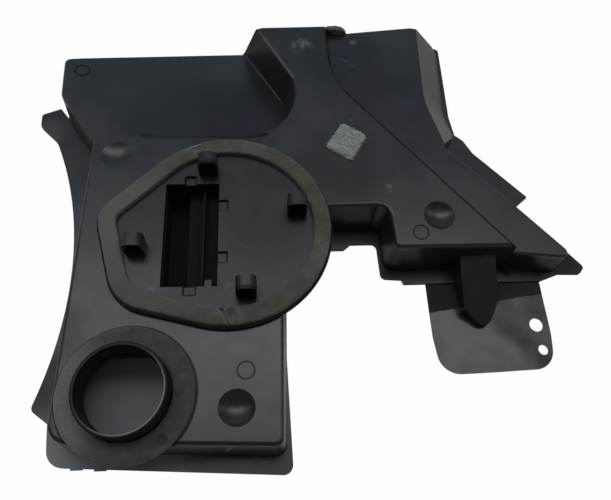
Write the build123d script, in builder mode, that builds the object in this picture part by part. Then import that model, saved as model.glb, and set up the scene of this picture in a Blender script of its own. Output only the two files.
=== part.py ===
from build123d import *
import math
import os

os.makedirs("parts", exist_ok=True)

# Engine trim cover: a hollow moulded housing that lies on its flat back.
# Millimetres, +Z out of the main face, +X and +Y as the cover is seen from the front.

# Overall size of the flange's outline
cover_width = 383.0
cover_length = 328.2

# Levels above the back and general thicknesses
face_level = 35.0
shelf_level = 25.0
bevel_foot_level = 3.0
wall = 2.5
flange_thickness = 2.5
draft_run = 3.0
rim_radius = 2.5
clear_of_cover = 260.0
shelf_radius = 2.0
small_bevel = 0.6

# Outer walls where they meet the main face, corner by corner, and the rounding of each corner
block_bottom_left = (-146.0, -145.5)
block_bottom_right = (-20.4, -151.4)
notch_inner = (-17.0, -6.6)
notch_top_right = (52.0, -5.0)
notch_bottom_right = (53.6, -35.2)
shelf_bottom = (134.0, -35.4)
shelf_tip = (173.5, -39.2)
shelf_bend = (141.4, -1.5)
bevel_end = (97.4, 47.9)
bevel_corner = (112.2, 69.5)
bevel_waist = (109.3, 90.0)
top_right = (111.5, 154.5)
top_shoulder = (88.0, 159.2)
top_step = (22.0, 150.6)
ridge_top_left = (-29.0, 148.0)
wing_top_right = (-44.5, 142.5)
wing_top_left = (-168.5, 115.7)
wing_bottom_left = (-167.0, 83.5)
block_top_left = (-141.2, 45.0)
block_corner_radius = 11.0
shelf_tip_radius = 3.0
notch_radius = 8.0
outer_corner_radius = 4.0
soft_corner_radius = 9.0

# Ridge edge above the shelf on the right
ridge_edge_top = (18.6, 173.0)
ridge_edge_knee = (21.0, 101.0)
ridge_edge_foot = (152.0, -60.2)
ridge_knee_radius = 45.0

# Bevel along the right side of the shelf
bevel_foot_top = (115.2, 188.0)
bevel_foot_middle = (111.6, 91.0)
bevel_foot_low = (128.0, 28.0)
bevel_foot_radius = 60.0
bevel_angle = 45.0

# Recessed wing on the left: its rim in the main face and its sloping floor
recess_rim_top = (-40.7, 161.2)
recess_rim_bend = (-5.3, 98.1)
recess_rim_corner = (-5.3, 48.4)
recess_rim_left = (-230.0, 50.6)
recess_corner_radius = 38.0
recess_bend_radius = 25.0
recess_taper = 21.0
floor_start = (-112.0, 49.0)
floor_downhill = (0.773, 0.634)
floor_slope = 12.4
floor_blend = 10.0
floor_lip = 0.2

# Thin flange round the back, with an ear on each side
flange_block_left = (-154.8, -154.9)
flange_block_right = (-14.2, -cover_length / 2 - 0.4)
flange_block_top = (-17.2, -63.0)
flange_notch_left = (-14.0, -22.4)
flange_notch_step = (25.0, -22.0)
flange_notch_rise = (30.0, -18.0)
flange_notch_right = (47.8, -17.8)
flange_notch_low = (48.8, -43.6)
flange_step_low = (62.8, -44.7)
flange_flap_corner = (64.0, -47.9)
flange_right_corner = (159.0, -47.4)
flange_tip_inner = (173.0, -42.4)
flange_tip_low = (188.0, -42.8)
flange_tip = (cover_width / 2 + 0.8, -37.8)
flange_ear_inner = (153.2, 10.2)
flange_ear_end = (163.2, 18.2)
flange_ear_outer = (128.8, 56.6)
flange_ear_top = (123.0, 68.0)
flange_bevel_low = (117.3, 73.0)
flange_bevel_waist = (115.2, 90.0)
flange_top_right = (116.4, 158.8)
flange_top_shoulder = (91.5, cover_length / 2)
flange_top_step = (20.0, 155.2)
flange_ridge_left = (-31.0, 152.8)
flange_wing_top = (-174.0, 121.4)
flange_wing_left = (-172.0, 88.0)
left_ear_root = (-178.6, 96.6)
left_ear_shoulder = (-cover_width / 2, 91.1)
left_ear_bulge = (-191.0, 80.2)
left_ear_start = (-177.5, 66.8)
left_ear_waist = (-155.3, -24.0)
left_ear_tip = (-168.2, -122.7)
left_ear_end = (-157.2, -131.0)
flange_small_radius = 2.5
ear_end_radius = 1.0
ear_bulge_radius = 7.0
ear_start_radius = 18.0
flange_left_radius = 11.0
flange_right_radius = 5.5
nub_places = [(-137.8, -156.1), (-124.4, -157.0)]
nub_width = 6.5
nub_reach = 0.8

# Collar with its foam ring
collar_centre = (-105.6, -121.5)
collar_outer_radius = 25.0
collar_wall = 2.0
collar_height = 18.0
seal_outer_radius = 37.5
seal_thickness = 4.0
fit_gap = 0.2

# Dimples and the small round marks in the main face
dimple_places = [(-45.7, -130.4), (84.2, -13.0)]
dimple_depth = 4.0
shallow_dimple_place = (-124.6, 33.7)
shallow_dimple_depth = 2.6
dimple_radius = 10.3
mark_places = [(-40.6, -110.0), (70.5, -25.1)]
wing_mark_place = (-155.0, 105.2)
wing_mark_level = 34.18
wing_mark_tilt = 8.2
mark_radius = 5.2
mark_width = 0.6
mark_depth = 0.5

# Socket plate: a round plate drawn out to the left, with a rectangular well
plate_main_centre = (-51.3, -22.0)
plate_main_radius = 65.0
plate_upper_centre = (-112.5, -17.5)
plate_upper_radius = 19.0
plate_lower_centre = (-94.0, -48.0)
plate_lower_radius = 29.0
plate_thickness = 3.0
gasket_margin = 1.5
gasket_width = 10.5
gasket_thickness = 4.0
well_centre = (-74.2, -25.5)
well_width = 33.5
well_length = 70.0
well_wall = 2.0
well_depth = 27.0
well_floor = 2.0
well_clearance = 0.5
ledge_width = 20.0
ledge_depth = 15.0
rib_from_right = 10.0
rib_width = 1.4
rib_depth = 8.0
catch_width = 7.0
catch_length = 6.0
catch_depth = 1.6
catch_radius = 1.5
top_catch_x = -75.6
low_catch_x = -73.8
side_catch_places = [-5.9, -41.7]
key_width = 4.0
key_length = 4.0
key_from_right = 3.4

# Arched hoods on the plate, open toward -Y
hood_places = [(-64.2, 15.2), (-106.2, -40.2), (-8.6, -14.4), (-40.2, -68.2)]
hood_width = 12.0
hood_length = 8.5
hood_wall = 1.6
hood_height = 16.0
hood_radius = 4.5

# Pointed tongue over the flap, and the flap itself
tongue_left = 97.5
tongue_right = 121.5
tongue_waist_left = (99.8, -68.8)
tongue_waist_right = (122.6, -64.2)
tongue_tip = (114.2, -83.2)
tongue_tip_radius = 6.0
tongue_root = -28.0
tongue_root_level = 25.5
tongue_tip_level = 2.5
flap_thickness = 1.0
flap_left = 79.0
flap_right = 158.6
flap_top = -28.0
flap_low_left = (82.0, -109.4)
flap_low_right = (156.5, -107.4)
flap_side_left = (79.0, -85.0)
flap_side_right = (158.6, -85.0)
flap_corner_radius = 15.0
flap_seat_gap = 0.3
flap_large_hole = (149.9, -78.0)
flap_large_hole_radius = 4.6
flap_small_hole = (151.0, -94.9)
flap_small_hole_radius = 3.4

# Felt pad on the ridge and foam pad on the top wall
felt_corners = [(26.8, 59.0), (41.7, 48.6), (31.5, 28.9), (13.0, 42.2)]
felt_corner_radius = 1.5
felt_thickness = 1.8
edge_pad_left = 19.5
edge_pad_right = 37.0
edge_pad_low = 4.0
edge_pad_top = 31.0
edge_pad_start = 150.8
edge_pad_face = 156.4
edge_pad_bevel = 1.2
edge_pad_corner = 2.5
edge_pad_shoulder = 8.0

# Wall inside the housing that closes off the space below the collar
partition_face = -93.7

# Shallow stiffening recesses in the back
back_recess_depth = 0.8
back_recess_radius = 8.0
back_recesses = [(-80.0, -102.0, 100.0, 58.0), (-104.0, -18.0, 58.0, 76.0),
                 (10.0, 60.0, 70.0, 92.0), (-88.0, 76.0, 92.0, 52.0)]


def outline(amount):
    """Outline of the walls at the face, drawn out by the amount; only the outside has small rounds."""
    with BuildSketch() as sketch:
        with BuildLine():
            Polyline(
                block_bottom_left, block_bottom_right, notch_inner, notch_top_right,
                notch_bottom_right, shelf_bottom, shelf_tip, shelf_bend, bevel_end,
                bevel_corner, bevel_waist, top_right, top_shoulder, top_step,
                ridge_top_left, wing_top_right, wing_top_left, wing_bottom_left,
                block_top_left, close=True,
            )
        make_face()
        fillet(sketch.vertices().sort_by_distance(block_bottom_left)[0], block_corner_radius)
        fillet(sketch.vertices().sort_by_distance(notch_top_right)[0], notch_radius)
        if amount >= draft_run:
            fillet(sketch.vertices().sort_by_distance(shelf_tip)[0], shelf_tip_radius)
            for corner in (block_bottom_right, notch_bottom_right, wing_top_left, top_right,
                           top_shoulder):
                fillet(sketch.vertices().sort_by_distance(corner)[0], outer_corner_radius)
        for corner in (wing_bottom_left, bevel_corner, wing_top_right):
            fillet(sketch.vertices().sort_by_distance(corner)[0], soft_corner_radius)
        offset(amount=amount, kind=Kind.INTERSECTION)
    return sketch.sketch


def level_edges(shape, level):
    """Edges of the shape that lie flat at the level."""
    return shape.edges().filter_by_position(Axis.Z, level - 0.02, level + 0.02)


def outward_edges(shape, level):
    """Edges at the level where the material turns away, without those in an inner corner."""
    return level_edges(shape, level).filter_by(lambda edge: not edge.is_interior)


def shelf_cut(inset):
    """Material above the shelf, from the ridge edge outward."""
    with BuildPart() as cut:
        with BuildSketch(Plane.XY.offset(shelf_level - inset)) as sketch:
            with BuildLine():
                Polyline(
                    ridge_edge_top, ridge_edge_knee, ridge_edge_foot,
                    (clear_of_cover, ridge_edge_foot[1]),
                    (clear_of_cover, ridge_edge_top[1]), close=True,
                )
            make_face()
            fillet(sketch.vertices().sort_by_distance(ridge_edge_knee)[0], ridge_knee_radius)
            offset(amount=inset, kind=Kind.INTERSECTION)
        extrude(amount=face_level)
    return cut.part


def bevel_cut(inset):
    """Wedge over the bevel beside the shelf."""
    rise = face_level - bevel_foot_level
    with BuildPart() as cut:
        with BuildSketch(Plane.XY.offset(bevel_foot_level - inset)) as sketch:
            with BuildLine():
                Polyline(
                    bevel_foot_top, bevel_foot_middle, bevel_foot_low,
                    (clear_of_cover, bevel_foot_low[1]),
                    (clear_of_cover, bevel_foot_top[1]), close=True,
                )
            make_face()
            fillet(sketch.vertices().sort_by_distance(bevel_foot_middle)[0], bevel_foot_radius)
        extrude(amount=rise, taper=-bevel_angle)
        split(bisect_by=Plane(origin=(0, bevel_end[1], 0), z_dir=(0, 1, 0)), keep=Keep.TOP)
    return cut.part


def wing_recess(inset):
    """Recess in the wing: drafted side walls over a sloping floor."""
    drop = math.tan(math.radians(floor_slope))
    far = clear_of_cover
    with BuildPart() as cut:
        with BuildSketch(Plane.XY.offset(face_level + inset)) as sketch:
            with BuildLine():
                Polyline(
                    recess_rim_top, recess_rim_bend, recess_rim_corner, recess_rim_left,
                    (recess_rim_left[0], clear_of_cover),
                    (recess_rim_top[0], clear_of_cover), close=True,
                )
            make_face()
            fillet(sketch.vertices().sort_by_distance(recess_rim_corner)[0],
                   recess_corner_radius)
            fillet(sketch.vertices().sort_by_distance(recess_rim_bend)[0], recess_bend_radius)
            offset(amount=inset, kind=Kind.INTERSECTION)
        extrude(amount=-face_level, taper=recess_taper)
        side = Plane(
            origin=(floor_start[0], floor_start[1], face_level - inset),
            x_dir=(floor_downhill[0], floor_downhill[1], 0),
            z_dir=(floor_downhill[1], -floor_downhill[0], 0),
        )
        with BuildSketch(side):
            with BuildLine():
                TangentArc((floor_blend, -floor_blend * drop), (-floor_blend, floor_lip),
                           tangent=(-1, drop))
                Polyline((floor_blend, -floor_blend * drop), (far, -far * drop),
                         (far, face_level), (-floor_blend, face_level),
                         (-floor_blend, floor_lip))
            make_face()
        extrude(amount=clear_of_cover, both=True, mode=Mode.INTERSECT)
    return cut.part


def housing(inset):
    """Whole moulded form without its details, drawn in by the inset."""
    taper = math.degrees(math.atan(draft_run / face_level))
    with BuildPart() as form:
        with BuildSketch(Plane.XY.offset(inset)):
            add(outline(draft_run - inset))
        extrude(amount=face_level - 2 * inset, taper=taper)
        add(shelf_cut(inset), mode=Mode.SUBTRACT)
        add(bevel_cut(inset), mode=Mode.SUBTRACT)
        add(wing_recess(inset), mode=Mode.SUBTRACT)
        if inset == 0:
            fillet(level_edges(form, face_level), rim_radius)
            fillet(outward_edges(form, shelf_level), shelf_radius)
    return form.part


def flange():
    """Thin flange round the back with the ear on each side."""
    with BuildPart() as plate:
        with BuildSketch() as sketch:
            with BuildLine():
                Polyline(
                    left_ear_end, flange_block_left, flange_block_right, flange_block_top,
                    flange_notch_left, flange_notch_step, flange_notch_rise,
                    flange_notch_right, flange_notch_low, flange_step_low, flange_flap_corner,
                    flange_right_corner, flange_tip_inner, flange_tip_low, flange_tip,
                    flange_ear_inner, flange_ear_end, flange_ear_outer, flange_ear_top,
                    flange_bevel_low, flange_bevel_waist, flange_top_right,
                    flange_top_shoulder, flange_top_step, flange_ridge_left,
                    flange_wing_top, flange_wing_left, left_ear_root, left_ear_shoulder,
                    left_ear_bulge, left_ear_start,
                )
                ThreePointArc(left_ear_start, left_ear_waist, left_ear_tip)
                Line(left_ear_tip, left_ear_end)
            make_face()
            fillet(sketch.vertices().sort_by_distance(flange_block_left)[0],
                   flange_left_radius)
            fillet(sketch.vertices().sort_by_distance(flange_block_right)[0],
                   flange_right_radius)
            for corner in (flange_notch_right, flange_notch_low, flange_ear_top,
                           flange_top_right, flange_wing_top, left_ear_tip,
                           flange_tip_inner):
                fillet(sketch.vertices().sort_by_distance(corner)[0], outer_corner_radius)
            for corner in (flange_tip_low, flange_tip, left_ear_shoulder):
                fillet(sketch.vertices().sort_by_distance(corner)[0], flange_small_radius)
            fillet(sketch.vertices().sort_by_distance(flange_ear_end)[0], ear_end_radius)
            fillet(sketch.vertices().sort_by_distance(left_ear_bulge)[0], ear_bulge_radius)
            fillet(sketch.vertices().sort_by_distance(left_ear_start)[0], ear_start_radius)
            for place in nub_places:
                with Locations((place[0], place[1] - nub_reach)):
                    Rectangle(nub_width, 5, align=(Align.CENTER, Align.MIN))
        extrude(amount=flange_thickness)
    return plate.part


def ball_radius(depth):
    """Radius of the ball that leaves a dimple of the given depth."""
    return (dimple_radius ** 2 + depth ** 2) / (2 * depth)


def tongue(inset):
    """Pointed tongue over the flap, its top sloping down from the lower wall."""
    far = tongue_tip[1] - 5
    with BuildPart() as point:
        with BuildSketch(Plane.XY.offset(inset)) as plan:
            with BuildLine():
                Polyline(
                    (tongue_left, tongue_root), tongue_waist_left, tongue_tip,
                    tongue_waist_right, (tongue_right, tongue_root), close=True,
                )
            make_face()
            fillet(plan.vertices().sort_by_distance(tongue_tip)[0], tongue_tip_radius)
            offset(amount=-inset, kind=Kind.INTERSECTION)
        extrude(amount=tongue_root_level)
        with BuildSketch(Plane.YZ.offset(tongue_left)):
            with BuildLine():
                Polyline(
                    (tongue_root, 0), (tongue_root, tongue_root_level - inset),
                    (far, tongue_tip_level - inset), (far, -inset), close=True,
                )
            make_face()
        extrude(amount=tongue_waist_right[0] - tongue_left, mode=Mode.INTERSECT)
    return point.part


def hollow():
    """Space inside the housing, parted by the inner wall and clear of the dimples."""
    dimple_block = 2 * (dimple_radius + wall)
    with BuildPart() as space:
        add(housing(wall))
        with BuildSketch():
            with Locations((collar_centre[0], partition_face)):
                Rectangle(cover_width, wall, align=(Align.CENTER, Align.MIN))
        extrude(amount=face_level, mode=Mode.SUBTRACT)
        with BuildSketch(Plane.XY.offset(face_level - dimple_depth - wall)):
            with Locations(*dimple_places):
                Rectangle(dimple_block, dimple_block)
        extrude(amount=dimple_depth + wall, mode=Mode.SUBTRACT)
        with BuildSketch(Plane.XY.offset(face_level - shallow_dimple_depth - wall)):
            with Locations(shallow_dimple_place):
                Rectangle(dimple_block, dimple_block)
        extrude(amount=shallow_dimple_depth + wall, mode=Mode.SUBTRACT)
    return space.part


dimple_ball = ball_radius(dimple_depth)
shallow_ball = ball_radius(shallow_dimple_depth)
dimple_centres = [(x, y, face_level + dimple_ball - dimple_depth) for x, y in dimple_places]
shallow_centre = (*shallow_dimple_place, face_level + shallow_ball - shallow_dimple_depth)
wing_mark_lean = math.tan(math.radians(wing_mark_tilt))
wing_mark_plane = Plane(
    origin=(*wing_mark_place, wing_mark_level),
    z_dir=(floor_downhill[0] * wing_mark_lean, floor_downhill[1] * wing_mark_lean, 1),
)
form = housing(0)

with BuildPart() as cover_body:
    add(form)
    add(flange())
    with BuildSketch(Plane.XY.offset(face_level - wall)):
        with Locations(collar_centre):
            Circle(collar_outer_radius)
    extrude(amount=wall + collar_height)
    chamfer(level_edges(cover_body, face_level + collar_height), small_bevel)

    add(tongue(0))

    # Hollow inside, open through the collar and under the socket plate
    add(hollow(), mode=Mode.SUBTRACT)
    add(tongue(wall), mode=Mode.SUBTRACT)
    with BuildSketch(Plane.XY.offset(face_level - 2 * wall)):
        with Locations(collar_centre):
            Circle(collar_outer_radius - collar_wall)
    extrude(amount=2 * wall + collar_height, mode=Mode.SUBTRACT)
    with BuildSketch(Plane.XY.offset(face_level - 2 * wall)):
        with Locations(well_centre):
            Rectangle(well_width + 2 * (well_wall + well_clearance),
                      well_length + 2 * (well_wall + well_clearance))
    extrude(amount=4 * wall, mode=Mode.SUBTRACT)

    # Dimples, round marks and the shallow seat of the flap in the back
    with Locations(*dimple_centres):
        Sphere(dimple_ball, mode=Mode.SUBTRACT)
    with Locations(shallow_centre):
        Sphere(shallow_ball, mode=Mode.SUBTRACT)
    with BuildSketch(Plane.XY.offset(face_level - mark_depth)):
        with Locations(*mark_places):
            Circle(mark_radius)
            Circle(mark_radius - mark_width, mode=Mode.SUBTRACT)
    extrude(amount=3 * mark_depth, mode=Mode.SUBTRACT)
    with BuildSketch(wing_mark_plane.offset(-mark_depth)):
        Circle(mark_radius)
        Circle(mark_radius - mark_width, mode=Mode.SUBTRACT)
    extrude(amount=3 * mark_depth, mode=Mode.SUBTRACT)
    with BuildSketch():
        with Locations((flap_left - flap_seat_gap, flap_top + flap_seat_gap)):
            Rectangle(flap_right - flap_left + 2 * flap_seat_gap,
                      flap_top - flap_low_left[1], align=(Align.MIN, Align.MAX))
    extrude(amount=flap_thickness, mode=Mode.SUBTRACT)
    with BuildSketch() as recesses:
        for x, y, width, length in back_recesses:
            with Locations((x, y)):
                RectangleRounded(width, length, back_recess_radius)
    extrude(amount=back_recess_depth, mode=Mode.SUBTRACT)

cover_body.part.label = "cover_body"
export_step(cover_body.part, "parts/cover_body.step")

with BuildPart() as socket_plate:
    plate_level = face_level + plate_thickness
    with BuildSketch(Plane.XY.offset(face_level)):
        with Locations(plate_main_centre):
            Circle(plate_main_radius)
        with Locations(plate_upper_centre):
            Circle(plate_upper_radius)
        with Locations(plate_lower_centre):
            Circle(plate_lower_radius)
        make_hull()
    extrude(amount=plate_thickness)
    chamfer(level_edges(socket_plate, plate_level), small_bevel)
    with BuildSketch(Plane.XY.offset(plate_level)):
        with Locations(well_centre):
            Rectangle(well_width + 2 * well_wall, well_length + 2 * well_wall)
    extrude(amount=-(well_depth + well_floor))
    with BuildSketch(Plane.XY.offset(plate_level)):
        with Locations(well_centre):
            Rectangle(well_width, well_length)
    extrude(amount=-well_depth, mode=Mode.SUBTRACT)

    # Step and thin rib along the right side of the well, and the key at its foot
    well_right = well_centre[0] + well_width / 2
    well_low = well_centre[1] - well_length / 2
    with BuildSketch(Plane.XY.offset(plate_level - well_depth)):
        with Locations((well_right, well_centre[1])):
            Rectangle(ledge_width, well_length, align=(Align.MAX, Align.CENTER))
    extrude(amount=well_depth - ledge_depth)
    with BuildSketch(Plane.XY.offset(plate_level - ledge_depth)):
        with Locations((well_right - rib_from_right, well_centre[1])):
            Rectangle(rib_width, well_length)
    extrude(amount=ledge_depth - rib_depth)
    with BuildSketch(Plane.XY.offset(plate_level - ledge_depth)):
        with Locations((well_right - key_from_right, well_low)):
            Rectangle(key_width, key_length, align=(Align.MAX, Align.MIN))
    extrude(amount=ledge_depth)

    # Shallow catches at the rim of the well
    with BuildSketch(Plane.XY.offset(plate_level - catch_depth)):
        with Locations((top_catch_x, well_low + well_length + catch_length / 2 - 1),
                       (low_catch_x, well_low - catch_length / 2 + 1)):
            RectangleRounded(catch_width, catch_length + 2, catch_radius)
        with Locations((well_right + catch_length / 2 - 1, side_catch_places[0]),
                       (well_right + catch_length / 2 - 1, side_catch_places[1])):
            RectangleRounded(catch_length + 2, catch_width, catch_radius)
    extrude(amount=2 * catch_depth, mode=Mode.SUBTRACT)

    # Arched hoods
    for place in hood_places:
        front = Plane(origin=(place[0], place[1], plate_level), x_dir=(1, 0, 0),
                      z_dir=(0, -1, 0))
        with BuildSketch(front):
            with Locations((0, hood_height / 2 - 1)):
                RectangleRounded(hood_width, hood_height + 2, hood_radius)
            with Locations((0, -2)):
                Rectangle(2 * hood_width, 4, mode=Mode.SUBTRACT)
        extrude(amount=-hood_length)
        with BuildSketch(front):
            with Locations((0, hood_height / 2 - 1)):
                RectangleRounded(hood_width - 2 * hood_wall, hood_height + 2 - 2 * hood_wall,
                                 hood_radius - hood_wall)
            with Locations((0, -2)):
                Rectangle(2 * hood_width, 4, mode=Mode.SUBTRACT)
        extrude(amount=-(hood_length - hood_wall), mode=Mode.SUBTRACT)

socket_plate.part.label = "socket_plate"
export_step(socket_plate.part, "parts/socket_plate.step")

with BuildPart() as plate_gasket:
    with BuildSketch(Plane.XY.offset(face_level + plate_thickness)) as strip:
        with Locations(plate_main_centre):
            Circle(plate_main_radius)
        with Locations(plate_upper_centre):
            Circle(plate_upper_radius)
        with Locations(plate_lower_centre):
            Circle(plate_lower_radius)
        make_hull()
        offset(amount=-gasket_margin)
        offset(amount=-gasket_width, mode=Mode.SUBTRACT)
    extrude(amount=gasket_thickness)

plate_gasket.part.label = "plate_gasket"
export_step(plate_gasket.part, "parts/plate_gasket.step")

with BuildPart() as collar_gasket:
    with BuildSketch(Plane.XY.offset(face_level)):
        with Locations(collar_centre):
            Circle(seal_outer_radius)
            Circle(collar_outer_radius + fit_gap, mode=Mode.SUBTRACT)
    extrude(amount=seal_thickness)

collar_gasket.part.label = "collar_gasket"
export_step(collar_gasket.part, "parts/collar_gasket.step")

with BuildPart() as felt_pad:
    with BuildSketch(Plane.XY.offset(face_level)) as patch:
        with BuildLine():
            Polyline(*felt_corners, close=True)
        make_face()
        fillet(patch.vertices(), felt_corner_radius)
    extrude(amount=felt_thickness)

felt_pad.part.label = "felt_pad"
export_step(felt_pad.part, "parts/felt_pad.step")

with BuildPart() as flap:
    with BuildSketch() as sheet:
        with BuildLine():
            Polyline(
                (flap_left, flap_top), flap_side_left, flap_low_left, flap_low_right,
                flap_side_right, (flap_right, flap_top), close=True,
            )
        make_face()
        for corner in (flap_low_left, flap_low_right):
            fillet(sheet.vertices().sort_by_distance(corner)[0], flap_corner_radius)
        with Locations(flap_large_hole):
            Circle(flap_large_hole_radius, mode=Mode.SUBTRACT)
        with Locations(flap_small_hole):
            Circle(flap_small_hole_radius, mode=Mode.SUBTRACT)
    extrude(amount=flap_thickness)

flap.part.label = "flap"
export_step(flap.part, "parts/flap.step")

with BuildPart() as edge_foam_pad:
    with BuildSketch(Plane.XZ.offset(-edge_pad_face)) as profile:
        with Locations((edge_pad_left, edge_pad_low)):
            Rectangle(edge_pad_right - edge_pad_left, edge_pad_top - edge_pad_low,
                      align=(Align.MIN, Align.MIN))
        fillet(profile.vertices().sort_by_distance((edge_pad_right, edge_pad_top))[0],
               edge_pad_shoulder)
        fillet(profile.vertices().sort_by_distance((edge_pad_left, edge_pad_top))[0],
               edge_pad_corner)
    extrude(amount=edge_pad_face - edge_pad_start)
    outer = edge_foam_pad.faces().sort_by(Axis.Y)[-1]
    chamfer(outer.edges(), edge_pad_bevel)
    add(form, mode=Mode.SUBTRACT)

edge_foam_pad.part.label = "edge_foam_pad"
export_step(edge_foam_pad.part, "parts/edge_foam_pad.step")
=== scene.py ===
import math

import bmesh
import bpy
from mathutils import Euler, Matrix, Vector, noise
from mathutils.geometry import convex_hull_2d, delaunay_2d_cdt


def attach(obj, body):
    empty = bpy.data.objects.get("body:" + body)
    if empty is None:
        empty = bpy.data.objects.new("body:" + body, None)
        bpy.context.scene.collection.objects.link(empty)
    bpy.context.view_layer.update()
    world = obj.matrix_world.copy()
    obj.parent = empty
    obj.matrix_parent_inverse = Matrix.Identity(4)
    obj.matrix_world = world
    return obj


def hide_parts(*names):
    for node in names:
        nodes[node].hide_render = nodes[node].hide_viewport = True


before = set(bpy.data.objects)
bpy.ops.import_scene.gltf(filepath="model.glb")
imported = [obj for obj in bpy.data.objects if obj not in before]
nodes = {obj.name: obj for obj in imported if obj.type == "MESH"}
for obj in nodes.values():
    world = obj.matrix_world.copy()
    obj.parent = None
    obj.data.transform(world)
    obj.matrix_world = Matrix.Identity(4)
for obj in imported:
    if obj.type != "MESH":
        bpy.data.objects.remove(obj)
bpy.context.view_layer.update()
print("frame loaded:", ", ".join(sorted(nodes)))

mm = 0.001
level = {"face": 35.0, "plate": 38.0, "ringTop": 39.0}  # heights over the back, in mm
collarMiddle = (-105.6, -121.5)


# shader maths: a socket that can be added, scaled and compared like a number
class Sock:
    def __init__(self, shader, out):
        self.shader, self.out = shader, out

    def maths(self, kind, other, flipped=False):
        first, second = (other, self) if flipped else (self, other)
        return self.shader.node("Math", {"operation": kind}, {0: first, 1: second})

    def __add__(self, other): return self.maths("ADD", other)
    def __radd__(self, other): return self.maths("ADD", other, True)
    def __sub__(self, other): return self.maths("SUBTRACT", other)
    def __rsub__(self, other): return self.maths("SUBTRACT", other, True)
    def __mul__(self, other): return self.maths("MULTIPLY", other)
    def __rmul__(self, other): return self.maths("MULTIPLY", other, True)
    def __gt__(self, other): return self.maths("GREATER_THAN", other)
    def __lt__(self, other): return self.maths("LESS_THAN", other)

    def size(self):  # without its sign
        return self.maths("ABSOLUTE", 0.0)

    def clamp(self, low=0.0, high=1.0):
        return self.shader.node("Clamp", {}, {"Value": self, "Min": low, "Max": high})

    def spread(self, low, high):  # low..high stretched to 0..1, soft at both ends
        return self.shader.node("MapRange", {"interpolation_type": "SMOOTHSTEP"},
                                {"Value": self, "From Min": low, "From Max": high})


def largest(sockets):
    found = sockets[0]
    for one in sockets[1:]:
        found = found.maths("MAXIMUM", one)
    return found


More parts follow.
